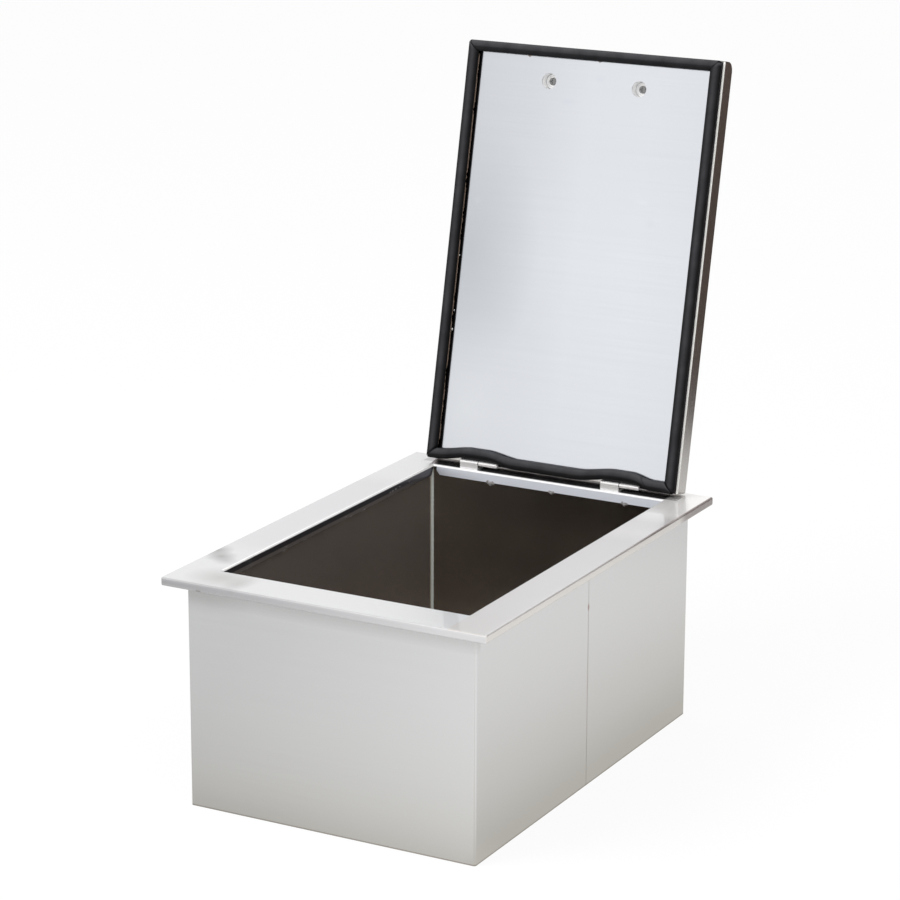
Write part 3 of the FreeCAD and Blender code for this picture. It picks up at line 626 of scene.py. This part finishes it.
# slit across the rear length's inner side: place, spacing of its rings, reach, depth and share of height
SLIT_X = 136.0
SLIT_STEP = 0.45
SLIT_RINGS = (-3, -1, 0, 1, 3)
SLIT_SIDE = 2.5
SLIT_NOTCH = 0.9
SLIT_HEIGHT = 0.9


def seal_profile():
    """Section points (outward, down) round the free bulb, from one side of its foot to the other."""
    start = -math.asin(SEAL_MIDDLE / SEAL_HALF)
    turns = [start + (math.pi - 2 * start) * i / BULB_STEPS for i in range(BULB_STEPS + 1)]
    return [(SEAL_HALF * math.cos(turn), SEAL_MIDDLE + SEAL_HALF * math.sin(turn)) for turn in turns]


def ease(t):
    """A smooth step from 0 to 1."""
    t = min(1.0, max(0.0, t))
    return t * t * (3 - 2 * t)


def rear_line(x):
    """How far the rear length bows from its base line, away from the lid's edge at the two hinges."""
    for low, top_low, top_high, high in REAR_BOWS:
        if low < x < high:
            return -REAR_BOW * min(ease((x - low) / (top_low - low)), ease((high - x) / (high - top_high)))
    return 0.0


def rear_bulge(x):
    """How far the rear length's outer flank is pressed in by the knuckles."""
    reach = KNUCKLE_FACE - (SEAL_REAR + rear_line(x) + SEAL_HALF)
    beside = ease((abs(x) - KNUCKLE_INNER) / KNUCKLE_STARTS) * ease((KNUCKLE_OUTER - abs(x)) / KNUCKLE_ENDS)
    return min(0.0, reach) * beside


def seal_length(name, slit=None):
    """One length of the seal between two mitres, with a little wander from being pressed on by hand."""
    profile = seal_profile()
    if name in ("front", "rear"):
        low, high = SEAL_LEFT, SEAL_RIGHT
    else:
        low, high = SEAL_FRONT, SEAL_REAR
    shares = [i / SEAL_RINGS for i in range(SEAL_RINGS + 1)]
    if slit:
        at = (slit - low) / (high - low)
        step = SLIT_STEP / (high - low)
        clear = [share for share in shares if abs(share - at) > 4 * step]
        shares = sorted(clear + [at + k * step for k in SLIT_RINGS])
    rings = []
    for t in shares:
        ring = []
        for outward, down in profile:
            corner = outward - max(0.0, outward - MITRE_STRAIGHT) ** 2 / MITRE_ROUNDING
            start = low - corner + MITRE_GAP
            end = high + corner - MITRE_GAP
            run = start + (end - start) * t
            ends = min(1.0, min(t, 1 - t) * UNEVEN_RISE)
            seed = Vector((run * WANDER_SCALE, len(name) * 3.7, 0.4))
            wander = WANDER * ends * noise.noise(seed)
            slump = 1 - SLUMP * ends * (1 + noise.noise(seed * 2.3 + Vector((0, 9, 0))))
            depth = down * slump
            across = outward * (1 - NARROWING * ends) + wander
            if slit and abs(t - at) < 0.5 * step and outward < SLIT_SIDE:
                across += SLIT_NOTCH
                depth *= SLIT_HEIGHT
            if name == "front":
                point = (run, SEAL_FRONT - across, LID_PLANE - depth)
            elif name == "rear":
                across += rear_bulge(run) * max(0.0, outward / SEAL_HALF)
                point = (run, SEAL_REAR + rear_line(run) + across, LID_PLANE - depth)
            elif name == "left":
                point = (SEAL_LEFT - across, run, LID_PLANE - depth)
            else:
                point = (SEAL_RIGHT + across, run, LID_PLANE - depth)
            ring.append(opened(*point))
        rings.append(ring)
    piece = build("seal_bulb_" + name, *loft(rings), seal_rubber, "lid", "black_rubber")
    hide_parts("seal_" + name)
    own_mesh(piece)


seal_length("front")
seal_length("rear", slit=SLIT_X)
seal_length("left")
seal_length("right")


# Glue that squeezed out along the inner edge of the seal's left length.

# spacing of the sections, widths and amount of the ridge, and its distance from the mitres
GLUE_STEP = 0.8
GLUE_LEAST = 0.12
GLUE_WIDEST = 3.0
GLUE_AMOUNT = 0.95
GLUE_END = 9
# how far the ridge reaches under the bulb, and the height of its edges
GLUE_ROOT = 0.7
GLUE_SKIN = 0.02


def beside_left_seal(run, across, height):
    """A point of the closed lid by its distances from the seal's foot and from the lid's underside."""
    return SEAL_LEFT + SEAL_FOOT + across, run, LID_PLANE - height


def glue_line(name, place, low, high, made):
    """A low ridge along a line, broken where little glue came out."""
    vertices = []
    faces = []
    ridge = []
    run = low
    while run <= high:
        flow = noise.noise(Vector((run * 0.055, len(name) * 5.1, 2.0)))
        flow += 0.45 * noise.noise(Vector((run * 0.31, 4.0, len(name) * 1.3)))
        width = min(GLUE_WIDEST, (GLUE_AMOUNT + flow) * GLUE_WIDEST)
        if width > GLUE_LEAST:
            ridge.append((run, width))
        else:
            add_ridge(vertices, faces, ridge, place)
            ridge = []
        run += GLUE_STEP
    add_ridge(vertices, faces, ridge, place)
    build(name, vertices, faces, made, "lid", "sealant")


def add_ridge(vertices, faces, ridge, place):
    """One run of the ridge, with tapered ends."""
    if len(ridge) < 3:
        return
    rings = []
    for i, (run, width) in enumerate(ridge):
        wide = width * min(1.0, 0.2 + 0.35 * min(i, len(ridge) - 1 - i))
        tall = 0.12 + 0.15 * wide
        section = ((-GLUE_ROOT, GLUE_SKIN), (wide * 0.2, tall), (wide * 0.7, tall * 0.7), (wide, GLUE_SKIN))
        rings.append([opened(*place(run, across, height)) for across, height in section])
    add_skin(vertices, faces, rings)


glue_line("seal_glue_left", beside_left_seal, SEAL_FRONT + GLUE_END, SEAL_REAR - GLUE_END, brown_glue)


# Stray drops of glue on the panel beside the seal: x, y, half lengths along x and y, and height.

WHITE_DROPS = ((-163.9, 6.7, 0.8, 0.9, 0.5), (-163.6, 78.5, 0.8, 1.0, 0.5), (-163.6, 103.3, 1.2, 1.6, 0.7))
BROWN_DROPS = ((-92.6, -258.6, 3.2, 2.2, 0.8), (7.1, -258.6, 2.6, 2.0, 0.8), (58.0, -259.3, 1.8, 1.6, 0.6))
LUMP_UNEVENNESS = 0.28


def lump(vertices, faces, centre, radii, seed, place):
    """A rounded lump with an uneven skin."""
    bm = bmesh.new()
    bmesh.ops.create_icosphere(bm, subdivisions=3, radius=1.0)
    start = len(vertices)
    for vertex in bm.verts:
        push = 1 + LUMP_UNEVENNESS * noise.noise(vertex.co * 1.7 + Vector((seed, seed * 2.0, 0)))
        vertices.append(place(*(c + r * push * v for c, r, v in zip(centre, radii, vertex.co))))
    for face in bm.faces:
        faces.append(tuple(start + v.index for v in face.verts))
    bm.free()


def drops(name, places, made):
    """Lumps on the lid's underside."""
    vertices = []
    faces = []
    for i, (x, y, wide, deep, tall) in enumerate(places):
        lump(vertices, faces, (x, y, LID_PLANE), (wide, deep, tall), i * 3.0, opened)
    build(name, vertices, faces, made, "lid", "sealant")


drops("seal_glue_drops", WHITE_DROPS, white_glue)
drops("seal_glue_front", BROWN_DROPS, brown_glue)


# Flat collars round the handle's spacers, at the bottom of the two access holes: radius and depth.

COLLAR_SECTION = ((7.6, 0.0), (9.3, 0.0), (9.6, 0.1), (9.7, 0.4), (9.7, 1.0), (7.6, 1.0))
COLLAR_STEPS = 48


def spacer_collars():
    """Two rings flush with the spacers' ends, with a rounded outer edge."""
    vertices = []
    faces = []
    for x in (HANDLE_X - HANDLE_SPACING / 2, HANDLE_X + HANDLE_SPACING / 2):
        rings = []
        for i in range(COLLAR_STEPS + 1):
            turn = 2 * math.pi * i / COLLAR_STEPS
            rings.append([opened(x + r * math.cos(turn), HANDLE_Y + r * math.sin(turn), SPACER_END + depth)
                          for r, depth in COLLAR_SECTION])
        add_skin(vertices, faces, rings, caps=False)
    build("handle_spacer_collars", vertices, faces, tube_steel, "lid", "hardware_steel")


spacer_collars()


# Welds down the corners of the liner.

WELD_LEG = 2.6
WELD_UNEVENNESS = 0.35
WELD_RIPPLE = 0.18
WELD_SECTION = ((0.0, 0.0), (1.0, 0.0), (0.82, 0.3), (0.58, 0.58), (0.3, 0.82), (0.0, 1.0))
WALL_STEP = 2.0
FLOOR_STEP = 3.0
BEND_STEPS = 8


def weld_path():
    """The liner's edge from the front rim down, along the floor and up the rear.

    Each point is (y, z, inward y, inward z)."""
    points = []
    z = LINER_TOP
    while z > LINER_FLOOR + LINER_BEND:
        points.append((LINER_FRONT, z, 1.0, 0.0))
        z -= WALL_STEP
    for i in range(BEND_STEPS + 1):
        turn = math.pi / 2 * i / BEND_STEPS
        y = LINER_FRONT + LINER_BEND * (1 - math.cos(turn))
        z = LINER_FLOOR + LINER_BEND * (1 - math.sin(turn))
        points.append((y, z, math.cos(turn), math.sin(turn)))
    y = LINER_FRONT + LINER_BEND + FLOOR_STEP
    while y < LINER_REAR - LINER_BEND:
        points.append((y, LINER_FLOOR, 0.0, 1.0))
        y += FLOOR_STEP
    for i in range(BEND_STEPS + 1):
        turn = math.pi / 2 * (1 - i / BEND_STEPS)
        y = LINER_REAR - LINER_BEND * (1 - math.cos(turn))
        z = LINER_FLOOR + LINER_BEND * (1 - math.sin(turn))
        points.append((y, z, -math.cos(turn), math.sin(turn)))
    z = LINER_FLOOR + LINER_BEND + WALL_STEP
    while z < LINER_TOP:
        points.append((LINER_REAR, z, -1.0, 0.0))
        z += WALL_STEP
    return points


def liner_weld(name, side):
    """A rippled fillet bead in the corner between a side wall and the wrapped sheet."""
    rings = []
    for i, (y, z, in_y, in_z) in enumerate(weld_path()):
        uneven = WELD_UNEVENNESS * noise.noise(Vector((i * 0.6, side, 0)))
        leg = WELD_LEG + uneven + WELD_RIPPLE * math.sin(i * 2.1)
        ring = []
        for u, v in WELD_SECTION:
            inward = leg * u
            across = leg * v
            ring.append(metres(side * (LINER_X - across), y + in_y * inward, z + in_z * inward))
        rings.append(ring)
    build(name, *loft(rings), weld_steel, "chest", "liner_steel")


liner_weld("liner_weld_left", -1)
liner_weld("liner_weld_right", 1)


# Sealant squeezed out under the flanges of the mouth.

# x and size of the clusters under the rear flange
REAR_CLUSTERS = ((-79.9, 1.2), (8.5, 0.9), (112.1, 1.0))
# place along and up, width and height of the lumps in a cluster
CLUSTER = ((-3.2, 0.3, 2.2, 2.0), (-0.4, -0.9, 2.6, 2.7), (2.8, -0.2, 2.3, 2.1))
# y, z and size of the smears on the left flange
LEFT_SMEARS = ((-109.0, 277.6, 1.3), (34.0, 277.4, 1.0), (146.0, 279.6, 1.0), (153.0, 279.9, 1.5),
               (161.0, 280.2, 1.2), (172.0, 280.6, 0.9), (197.0, 281.0, 0.8))
SIDE_LUMPS = 6
SIDE_FROM = -190
FRONT_LUMPS = 4
FRONT_FROM = -120
LUMP_PITCH = 74
LUMP_SET_BACK = 1.3


def flange_lumps():
    """Lumps along the lower edges of the four flanges, thickest where the gun paused."""
    vertices = []
    faces = []
    for i, (x, size) in enumerate(REAR_CLUSTERS):
        for j, (along, up, wide, tall) in enumerate(CLUSTER):
            centre = (x + along * size, MOUTH_REAR - FLANGE_LEAN + 0.9, FLANGE_LOW + up * size)
            lump(vertices, faces, centre, (wide * size, 1.8, tall * size), i + 5 * j, metres)
    for i, (y, z, size) in enumerate(LEFT_SMEARS):
        lean = FLANGE_LEAN * (RIM_TOP - z) / (RIM_TOP - FLANGE_LOW)
        lump(vertices, faces, (lean - MOUTH_X, y, z), (0.35, 1.9 * size, 0.6 * size), i + 60, metres)
    for i in range(SIDE_LUMPS):
        y = SIDE_FROM + i * LUMP_PITCH + 21 * math.sin(i * 2.7)
        size = 0.8 + 0.6 * abs(math.sin(i * 1.9))
        for side in (-1, 1):
            centre = (side * (MOUTH_X - FLANGE_LEAN + LUMP_SET_BACK), y + 6 * side, FLANGE_LOW)
            lump(vertices, faces, centre, (1.6, size * 2.2, size), i + 9 * side, metres)
    for i in range(FRONT_LUMPS):
        x = FRONT_FROM + i * LUMP_PITCH + 9 * math.sin(i * 3.1)
        centre = (x, MOUTH_FRONT + FLANGE_LEAN - LUMP_SET_BACK, FLANGE_LOW)
        lump(vertices, faces, centre, (3.0 + math.sin(i), 1.6, 1.4), i + 40, metres)
    build("mouth_sealant_lumps", vertices, faces, clear_sealant, "chest", "sealant")


flange_lumps()


# Stage: floor, a dark flag at the right rear, light and camera. Lengths are in metres.

# half size and level of the floor, and half sizes of the part's foot
FLOOR_HALF = 15
FLOOR_LEVEL = -0.0004
FOOT_X = 0.19
FOOT_Y = 0.285
# painted shadow in mirror images, by the distance from the part: in front, to the right, and farther away
FLOOR_SHADOW_FRONT = [(0.0, (0.68, 0.66, 0.61)), (0.1, (0.83, 0.82, 0.785))]
FLOOR_SHADOW_RIGHT = [(0.0, (0.60, 0.575, 0.51)), (0.1, (0.78, 0.765, 0.73))]
FLOOR_FAR = [(0.25, (0.93, 0.925, 0.915)), (0.5, (1.0, 1.0, 1.0))]
# painted light in mirror images: its level in the middle, its rise to the right and away from the part, and
# its least
FLOOR_MIDDLE = 0.97
FLOOR_RISE_RIGHT = 0.62
FLOOR_RISE_AWAY = 0.225
FLOOR_LEAST = 0.80
# share of plain white to the camera, and of the tones above in mirror images
FLOOR_SEEN = 0.88
FLOOR_MIRRORED = 0.9

FLAG_FOOT = Vector((0.80, 1.42, 0.0))
FLAG_ALONG = Vector((0.873, -0.488, 0.0))
FLAG_HALF = 0.9
FLAG_HEIGHT = 1.3

# tones of the studio from straight down, over the horizon at 0.5, to straight up
WALL_TONES = ((0.0, 0.9), (0.54, 1.0), (0.66, 1.05), (0.78, 1.25), (0.87, 1.25), (0.95, 0.5), (1.0, 0.4))
BRIGHT_SIDE = (-0.46, -0.885, 0.0)

LAMP_TARGET = (0.0, 0.0, 0.2)

CAMERA_PLACE = (1.79914, -3.29790, 1.46500)
CAMERA_YAW = 28.57427
CAMERA_PITCH = 15.90039
CAMERA_ROLL = 0.17851
CAMERA_LENS = 129.898
CAMERA_SENSOR = 36.0


def plate(name, corners):
    """A flat piece of the stage."""
    mesh = bpy.data.meshes.new(name)
    mesh.from_pydata(corners, [], [tuple(range(len(corners)))])
    piece = bpy.data.objects.new(name, mesh)
    scene.collection.objects.link(piece)
    return piece


def floor():
    """A pale floor with a soft shadow, white to the camera, and in mirror images dimmer near the part as
    painted shadow.
    """
    corners = [(x * FLOOR_HALF, y * FLOOR_HALF, FLOOR_LEVEL) for x, y in ((-1, -1), (1, -1), (1, 1), (-1, 1))]
    piece = plate("floor", corners)
    made = bpy.data.materials.new("studio_floor")
    made.use_nodes = True
    tree = made.node_tree
    tree.nodes.clear()
    parts = add(tree, "SeparateXYZ", {"Vector": add(tree, "TexCoord").outputs["Object"]})
    beside = maths(tree, "SUBTRACT", maths(tree, "ABSOLUTE", parts.outputs["X"], 0.0), FOOT_X)
    before = maths(tree, "SUBTRACT", maths(tree, "ABSOLUTE", parts.outputs["Y"], 0.0), FOOT_Y)
    away = maths(tree, "MAXIMUM", maths(tree, "MAXIMUM", beside, before), 0.0)
    front = ramp(tree, away, FLOOR_SHADOW_FRONT + FLOOR_FAR)
    side = ramp(tree, beside, FLOOR_SHADOW_RIGHT + FLOOR_FAR)
    shade = mixed(tree, spread(tree, parts.outputs["X"], 0.0, 1.0, 0.17, 0.21), front, side)
    rise = maths(tree, "ADD", maths(tree, "MULTIPLY", parts.outputs["X"], FLOOR_RISE_RIGHT),
                 maths(tree, "MULTIPLY", away, FLOOR_RISE_AWAY))
    # painted light: the glow's cap is higher in front of the part, and the glow dimmer far behind it
    most = spread(tree, parts.outputs["Y"], 1.12, 1.01, -0.30, -0.20)
    level = maths(tree, "MAXIMUM", maths(tree, "ADD", rise, FLOOR_MIDDLE), FLOOR_LEAST)
    level = maths(tree, "MINIMUM", level, most)
    level = maths(tree, "MULTIPLY", level, spread(tree, parts.outputs["Y"], 1.0, 0.78, 0.8, 1.3))
    path = add(tree, "LightPath")
    seen = maths(tree, "MAXIMUM", path.outputs["Is Glossy Ray"], path.outputs["Is Transmission Ray"])
    factor = maths(tree, "MAXIMUM", maths(tree, "MULTIPLY", path.outputs["Is Camera Ray"], FLOOR_SEEN),
                   maths(tree, "MULTIPLY", seen, FLOOR_MIRRORED))
    diffuse = add(tree, "BsdfDiffuse", Color=(0.88, 0.88, 0.88, 1.0))
    white = add(tree, "Emission", Color=(1.0, 1.0, 1.0, 1.0), Strength=1.0)
    mirrored = add(tree, "Emission", {"Color": shade, "Strength": level})
    glow = add(tree, "MixShader", {"Fac": seen})
    tree.links.new(white.outputs["Emission"], glow.inputs[1])
    tree.links.new(mirrored.outputs["Emission"], glow.inputs[2])
    both = add(tree, "MixShader", {"Fac": factor})
    tree.links.new(diffuse.outputs["BSDF"], both.inputs[1])
    tree.links.new(glow.outputs["Shader"], both.inputs[2])
    output = add(tree, "OutputMaterial")
    tree.links.new(both.outputs["Shader"], output.inputs["Surface"])
    piece.data.materials.append(made)


def flag():
    """A dark card beside the set, seen only in reflections, that shades the lid's right side."""
    half = FLAG_ALONG * FLAG_HALF
    up = Vector((0, 0, FLAG_HEIGHT))
    low = [FLAG_FOOT - half, FLAG_FOOT + half]
    piece = plate("flag_right_rear", low + [low[1] + up, low[0] + up])
    made, tree, bsdf = material("flag_cloth")
    bsdf.inputs["Roughness"].default_value = 0.95
    tone = grain(tree, (6.0, 6.0, 6.0))
    cloth = ramp(tree, tone, [(NOISE_LOW, (0.05, 0.035, 0.03)), (NOISE_HIGH, (0.09, 0.065, 0.055))])
    tree.links.new(cloth, bsdf.inputs["Base Color"])
    piece.data.materials.append(made)
    piece.visible_camera = False
    piece.visible_diffuse = False
    piece.visible_shadow = False


def sky():
    """White studio walls near the horizon, brightest at the front left, under a dim ceiling."""
    world = bpy.data.worlds.new("studio")
    scene.world = world
    world.use_nodes = True
    tree = world.node_tree
    tree.nodes.clear()
    direction = add(tree, "TexCoord").outputs["Generated"]
    parts = add(tree, "SeparateXYZ", {"Vector": direction})
    height = spread(tree, parts.outputs["Z"], 0.0, 1.0, -1.0, 1.0)
    walls = ramp(tree, height, greys(WALL_TONES))
    toward = add(tree, "VectorMath", operation="DOT_PRODUCT")
    tree.links.new(direction, toward.inputs[0])
    toward.inputs[1].default_value = BRIGHT_SIDE
    level = spread(tree, toward.outputs["Value"], 0.86, 1.10, -0.55, 0.95)
    studio = add(tree, "Background", {"Color": walls, "Strength": level})
    white = add(tree, "Background", Color=(1.0, 1.0, 1.0, 1.0), Strength=1.0)
    both = add(tree, "MixShader", {"Fac": add(tree, "LightPath").outputs["Is Camera Ray"]})
    tree.links.new(studio.outputs["Background"], both.inputs[1])
    tree.links.new(white.outputs["Background"], both.inputs[2])
    output = add(tree, "OutputWorld")
    tree.links.new(both.outputs["Shader"], output.inputs["Surface"])


def lamp(name, place, size, power):
    """A square soft lamp that points at the part and isn't seen in reflections."""
    data = bpy.data.lights.new(name, "AREA")
    data.shape = "SQUARE"
    data.size = size
    data.energy = power
    piece = bpy.data.objects.new(name, data)
    scene.collection.objects.link(piece)
    piece.location = place
    piece.rotation_euler = (Vector(LAMP_TARGET) - Vector(place)).to_track_quat("-Z", "Y").to_euler()
    piece.visible_glossy = False


def camera():
    """The photograph's viewpoint."""
    yaw, pitch, roll = (math.radians(angle) for angle in (CAMERA_YAW, CAMERA_PITCH, CAMERA_ROLL))
    ahead = Vector((-math.sin(yaw) * math.cos(pitch), math.cos(yaw) * math.cos(pitch), -math.sin(pitch)))
    level = Vector((math.cos(yaw), math.sin(yaw), 0.0))
    up = level.cross(ahead)
    right = math.cos(roll) * level + math.sin(roll) * up
    above = -math.sin(roll) * level + math.cos(roll) * up
    data = bpy.data.cameras.new("camera")
    data.sensor_width = CAMERA_SENSOR
    data.lens = CAMERA_LENS
    data.clip_end = 100.0
    piece = bpy.data.objects.new("camera", data)
    scene.collection.objects.link(piece)
    turn = Matrix((right, above, -ahead)).transposed().to_4x4()
    piece.matrix_world = Matrix.Translation(CAMERA_PLACE) @ turn
    scene.camera = piece


floor()
flag()
sky()
lamp("key", (-1.6, -2.2, 3.0), 1.8, 70.0)
lamp("fill", (2.4, -0.6, 2.6), 2.2, 22.0)
camera()
scene.view_settings.view_transform = "Standard"
